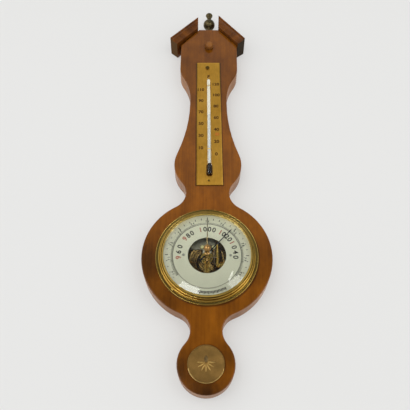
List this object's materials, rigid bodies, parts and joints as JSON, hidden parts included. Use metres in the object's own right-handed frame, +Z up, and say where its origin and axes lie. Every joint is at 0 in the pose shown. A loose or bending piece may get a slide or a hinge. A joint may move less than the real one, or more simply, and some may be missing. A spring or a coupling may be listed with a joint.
{
  "type": "banjo barometer",
  "caption": "Wall-hung banjo-shaped aneroid barometer: wooden case, broken pediment, brass finial, glazed dial with open movement, and a thermometer on a brass plate.",
  "frame": {"origin": "centre of the hanging hole in the back plate, on the wall plane", "axes": "+Z up along the case, +Y out of the back towards the wall, the dial faces -Y, +X to the viewer's right"},
  "size_m": [0.134, 0.0421, 0.5046],
  "materials": {
    "case_wood": "gloss varnish",
    "moulding_wood": "gloss varnish",
    "button_wood": "gloss varnish",
    "bezel_brass": "lacquered, bright",
    "plate_brass": "lacquered, satin",
    "aged_brass": "aged",
    "works_brass": "bright, some tarnish",
    "steel": "ground",
    "spring_steel": "ground, grey",
    "blued_steel": "blued",
    "pan_steel": "dull",
    "capsule_metal": "plated",
    "dial_white": "silvered white",
    "clear_glass": "polished",
    "liquid": "liquid metal"
  },
  "bodies": {
    "case": {"case_board": "case_wood", "pediment_left": "moulding_wood", "pediment_right": "moulding_wood", "finial": "aged_brass", "top_button": "button_wood", "hanging_plate": "aged_brass", "hanging_screws": "aged_brass", "foot_disc": "aged_brass", "thermometer_plate": "plate_brass", "thermometer_tube": "clear_glass", "thermometer_liquid": "liquid", "tube_staples": "works_brass", "plate_screw": "aged_brass", "plate_nail": "works_brass", "bezel": "bezel_brass", "bezel_pins": "aged_brass", "glass": "clear_glass", "glass_ring": "aged_brass", "dial": "dial_white", "dial_screws": "steel", "movement_pan": "pan_steel", "movement_screws": "steel", "base_plate": "works_brass", "dial_pillars": "works_brass", "capsule": "capsule_metal", "capsule_post": "works_brass", "main_spring": "spring_steel", "spring_screws": "steel", "rocking_frame": "works_brass", "frame_pillars": "works_brass", "frame_screws": "steel", "chain": "steel", "bridge_pillars": "works_brass", "lower_plate": "works_brass", "bridge_spacers": "works_brass", "upper_cock": "works_brass", "cock_screws": "steel", "hairspring": "blued_steel"},
    "indicator": {"hand_arbor": "steel", "pressure_hand": "blued_steel"},
    "rocker": {"rocking_shaft": "works_brass"},
    "lever": {"main_lever": "spring_steel", "lever_screws": "works_brass"},
    "setter": {"set_hand": "bezel_brass", "set_knob": "bezel_brass"},
    "adjuster": {"adjusting_screw": "aged_brass"}
  },
  "joints": [
    {"name": "hand_turn", "type": "hinge", "parent": "case", "child": "indicator", "pos_m": [0, -0.02, -0.285], "axis": [0, 1, 0], "range_deg": [-168, 82], "deforming": ["hairspring", "chain"]},
    {"name": "rocker_turn", "type": "hinge", "parent": "case", "child": "rocker", "pos_m": [0.011, -0.0124, -0.285], "axis": [0, 0, 1], "range_deg": [-13.8, 28.2]},
    {"name": "lever_tilt", "type": "hinge", "parent": "case", "child": "lever", "pos_m": [0, -0.007, -0.258], "axis": [1, 0, 0], "range_deg": [-1.9, 0.95], "deforming": ["main_spring"]},
    {"name": "set_turn", "type": "hinge", "parent": "case", "child": "setter", "pos_m": [0, -0.0385, -0.285], "axis": [0, 1, 0], "continuous": true},
    {"name": "adjust_turn", "type": "hinge", "parent": "case", "child": "adjuster", "pos_m": [0, -0.001, -0.2608], "axis": [0, 1, 0], "range_deg": [-720, 720]}
  ],
  "couplings": [
    {"joint": "rocker_turn", "follows": "hand_turn", "ratio": -0.16667},
    {"joint": "lever_tilt", "follows": "hand_turn", "ratio": 0.011}
  ]
}
